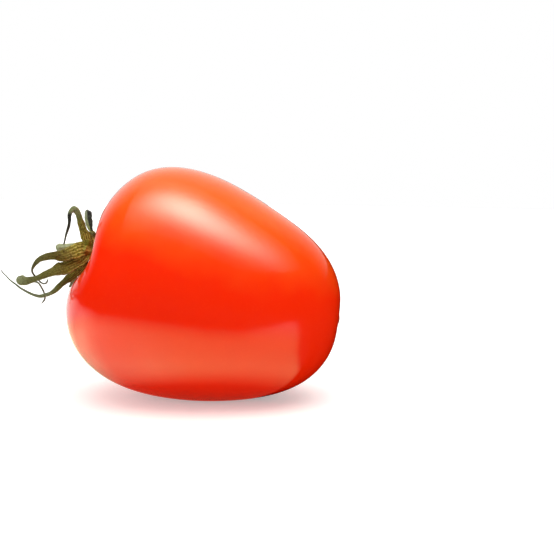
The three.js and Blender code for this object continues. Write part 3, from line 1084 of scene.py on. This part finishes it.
def make_floor():
    half = FLOOR_HALF
    corners = [(-half, -half, 0), (half, -half, 0), (half, half, 0), (-half, half, 0)]
    floor = make_piece("floor", corners, [(0, 1, 2, 3)])
    material, tree, shader = new_material("pale floor")
    seen = add_node(tree, "ShaderNodeLightPath").outputs["Is Camera Ray"]
    set_inputs(shader, {
        "Base Color": FLOOR_COLOR, "Roughness": 0.9, "Emission Color": WHITE,
        "Emission Strength": times(tree, seen, FLOOR_GLOW),
    })
    floor.data.materials.append(material)
    floor.visible_glossy = False


def make_world():
    """White to the camera, and a soft light, stronger from the left, that isn't mirrored."""
    world = bpy.data.worlds.new("studio")
    bpy.context.scene.world = world
    world.cycles_visibility.glossy = False
    world.use_nodes = True
    tree = world.node_tree
    seen = add_node(tree, "ShaderNodeLightPath").outputs["Is Camera Ray"]
    direction = add_node(tree, "ShaderNodeTexCoord").outputs["Generated"]
    sideways = add_node(tree, "ShaderNodeSeparateXYZ", {"Vector": direction}).outputs["X"]
    strength = spread(tree, sideways, -1.0, 1.0, *ROOM_LIGHT)
    room = set_inputs(tree.nodes["Background"], {"Color": ROOM_COLOR, "Strength": strength})
    white = add_node(tree, "ShaderNodeBackground", {"Color": WHITE})
    both = add_node(tree, "ShaderNodeMixShader", {0: seen, 1: room.outputs[0], 2: white.outputs[0]})
    set_inputs(tree.nodes["World Output"], {"Surface": both.outputs[0]})


make_floor()
make_world()
print("floor, in metres across:", 2 * FLOOR_HALF)

# %% [markdown]
# A waxy skin shows its lamps as mirror pictures. So one lamp, overhead and brightest in
# its middle, is only mirrored: it makes the long highlight. The other is only soft fill,
# which the skin doesn't mirror. One lamp for both would be simpler, but then the
# highlight and the depth of the red couldn't be set apart.

# %% Lamps
SOFTBOX_SIZE = (1.4, 0.9)
SOFTBOX_CORE = (0.34, 0.18)
SOFTBOX_HALO = 0.12
CORE_FALL, HALO_FALL = -1.0, -0.25
SOFTBOX_PLACE = (0.17, -0.02, 0.7)
SOFTBOX_TURN = -16
SOFTBOX_POWER = 55
SOFTBOX_COLOR = (1, 0.95, 0.86, 1)
FILL_SIZE = 1.6
FILL_PLACE = (0.1, -0.15, 1.1)
FILL_POWER = 12


def make_lamp(name, shape, location, power):
    data = bpy.data.lights.new(name, "AREA")
    data.shape = shape
    data.energy = power
    lamp = bpy.data.objects.new(name, data)
    lamp.location = location
    bpy.context.collection.objects.link(lamp)
    return lamp


def make_softbox():
    """An area light whose glow falls off smoothly from its middle to its edges."""
    softbox = make_lamp("softbox", "RECTANGLE", SOFTBOX_PLACE, SOFTBOX_POWER)
    softbox.rotation_euler = (0, 0, math.radians(SOFTBOX_TURN))
    softbox.visible_diffuse = False
    softbox.data.size, softbox.data.size_y = SOFTBOX_SIZE
    softbox.data.use_nodes = True
    tree = softbox.data.node_tree
    spot = add_node(tree, "ShaderNodeNewGeometry").outputs["Parametric"]
    axes = add_node(tree, "ShaderNodeSeparateXYZ", {"Vector": spot}).outputs
    squares = []
    for key, size, core in zip("XY", SOFTBOX_SIZE, SOFTBOX_CORE):
        offset = maths(tree, "SUBTRACT", axes[key], 0.5)
        squares.append(maths(tree, "POWER", times(tree, offset, size / core), 2.0))
    distance = maths(tree, "ADD", *squares)
    core = maths(tree, "EXPONENT", times(tree, distance, CORE_FALL))
    halo = maths(tree, "EXPONENT", times(tree, distance, HALO_FALL))
    falloff = maths(tree, "ADD", core, times(tree, halo, SOFTBOX_HALO))
    set_inputs(tree.nodes["Emission"], {"Color": SOFTBOX_COLOR, "Strength": falloff})


def make_fill():
    fill = make_lamp("fill", "DISK", FILL_PLACE, FILL_POWER)
    fill.data.size = FILL_SIZE
    fill.visible_glossy = False


make_softbox()
make_fill()
print("lamps, in watts:", SOFTBOX_POWER, FILL_POWER)

# %% [markdown]
# Two cards that the camera doesn't see give the skin the rest of what it mirrors, as a
# photographer's white cards do. A sheet on the table makes the pale band. It is a fan of
# rings round the fruit's foot: its glow starts outside the fruit's shade and falls off
# towards an outline given by angle, from the right through the front to the back left.
# A backdrop that fades upwards makes the pale rims. A name with OVER in it is a curve: a
# list of places, and a list of how much there.

# %% Cards that the skin mirrors
FOOT_SHADE = (0.026, 0.0204)
FOOT_GLOW = 0.7
SHEET_ANGLES = [13, 36, 47, 60, 75, 102, 126, 149, 172, 186, 206, 227, 245]
SHEET_REACHES = [
    0.23, 0.163, 0.109, 0.074, 0.067, 0.073, 0.084, 0.096, 0.147, 0.20, 0.44, 0.71, 1.5,
]
SHEET_NEAR, SHEET_FAR = 0.004, 1.5
SHEET_STRENGTH = 2.9
SHEET_SIDES = 90
SHEET_RINGS = 120
SHEET_HEIGHT = 0.0002
LIT_OVER_SHADE = ([0.88, 1.05, 1.23, 1.42], [0, 0.4, 0.8, 1])
GLOW_OVER_OUTLINE = ([0.4, 0.72, 0.9, 1.15], [1, 0.82, 0.5, 0])
TURN_OVER_REACH = ([0.032, 0.038, 0.048], [8, 3, -2])
GLOW_OVER_ANGLE = (
    [19.5, 26, 50, 80, 120, 168, 188, 235, 245],
    [0, 0.6, 0.75, 0.88, 1, 1, 0.5, 0.5, 0],
)
DIM_OVER_ANGLE = ([115, 150], [0, 1])
DIM_OVER_REACH = ([0.03, 0.065], [0.6, 0])
FAR_OVER_REACH, FAR_DIM = ([0.06, 0.12], [0, 1]), 0.2
WHITE_OVER_ANGLE = ([90, 150], [0, 0.4])
WARM_COLOR, WHITE_COLOR, RED_COLOR = (0.8, 0.9, 0.38), (1, 1, 0.95), (1, 0.09, 0.05)
BACKDROP_BACK = 0.8
BACKDROP_MIDDLE, BACKDROP_TOP = 0.35, 1.6
BACKDROP_STRENGTH = 0.8
BACKDROP_COLUMNS = [
    (-3.0, 0, 0), (-1.5, 0, 0.28), (-0.95, 0, 0.65), (-0.6, 0, 1), (0, 0.05, 1),
    (0.35, 0.15, 0.6), (0.75, 0.25, 0.2), (1.1, 0.3, 0),
]


def make_card(name, points, faces, values):
    """A card seen only in reflections: how strongly, whitely and redly each point glows."""
    card = make_piece(name, points, faces, values)
    material, tree, shader = new_material(name)
    pale = mix_colors(tree, attribute(tree, "white"), WARM_COLOR, WHITE_COLOR)
    color = mix_colors(tree, attribute(tree, "red"), pale, RED_COLOR)
    set_inputs(shader, {
        "Base Color": (0, 0, 0, 1), "Emission Color": color,
        "Emission Strength": attribute(tree, "glow"),
    })
    card.data.materials.append(material)
    card.visible_camera = False
    card.visible_diffuse = False
    card.visible_shadow = False
    return card


def sheet_values(angle, reach):
    """Glow, whiteness and redness at angles in degrees and reaches in metres."""
    turn = np.radians(angle)
    shade = 1 / np.hypot(np.cos(turn) / FOOT_SHADE[0], np.sin(turn) / FOOT_SHADE[1])
    limit = np.interp(angle, SHEET_ANGLES, SHEET_REACHES)
    lit = np.interp(reach / shade, *LIT_OVER_SHADE)
    outer = np.interp(reach / limit, *GLOW_OVER_OUTLINE)
    side = np.interp(angle + np.interp(reach, *TURN_OVER_REACH), *GLOW_OVER_ANGLE)
    dim = np.interp(angle, *DIM_OVER_ANGLE) * np.interp(reach, *DIM_OVER_REACH)
    far = np.interp(reach, *FAR_OVER_REACH) + 0 * angle
    sheet = SHEET_STRENGTH * lit * outer * side * (1 - dim) * (1 - FAR_DIM * far)
    # Inside the fruit's shade the sheet glows red: a painted reflection of the fruit's own red light on
    # the table.
    glow = sheet + FOOT_GLOW * (1 - lit)
    white = np.maximum(far, np.interp(angle, *WHITE_OVER_ANGLE))
    return {"glow": glow, "white": white, "red": 1 - lit}


def make_sheet():
    angle = np.linspace(SHEET_ANGLES[0], SHEET_ANGLES[-1], SHEET_SIDES + 1)[None, :]
    reach = SHEET_NEAR * (SHEET_FAR / SHEET_NEAR) ** np.linspace(0, 1, SHEET_RINGS + 1)[:, None]
    x = reach * np.cos(np.radians(angle))
    y = -reach * np.sin(np.radians(angle))
    points = np.stack(np.broadcast_arrays(x, y, SHEET_HEIGHT), axis=-1).reshape(-1, 3)
    width = SHEET_SIDES + 1
    faces = [
        (start, start + 1, start + 1 + width, start + width)
        for ring in range(SHEET_RINGS) for start in range(ring * width, ring * width + SHEET_SIDES)
    ]
    return make_card("table_sheet", points, faces, sheet_values(angle, reach))


def make_backdrop():
    """It fades upwards and to both sides, and its lower edge rises to the right."""
    points = [
        (x, BACKDROP_BACK, z)
        for x, low, glow in BACKDROP_COLUMNS for z in (low, BACKDROP_MIDDLE, BACKDROP_TOP)
    ]
    faces = [(row, row + 3, row + 4, row + 1) for row in range(len(points) - 3) if row % 3 < 2]
    glow = [BACKDROP_STRENGTH * glow * part for x, low, glow in BACKDROP_COLUMNS for part in (1, 1, 0)]
    values = {"glow": glow, "white": np.ones(len(points)), "red": np.zeros(len(points))}
    return make_card("backdrop", points, faces, values)


sheet = make_sheet()
make_backdrop()
print("sheet faces:", len(sheet.data.polygons))
bpy.context.scene.view_settings.view_transform = "Standard"
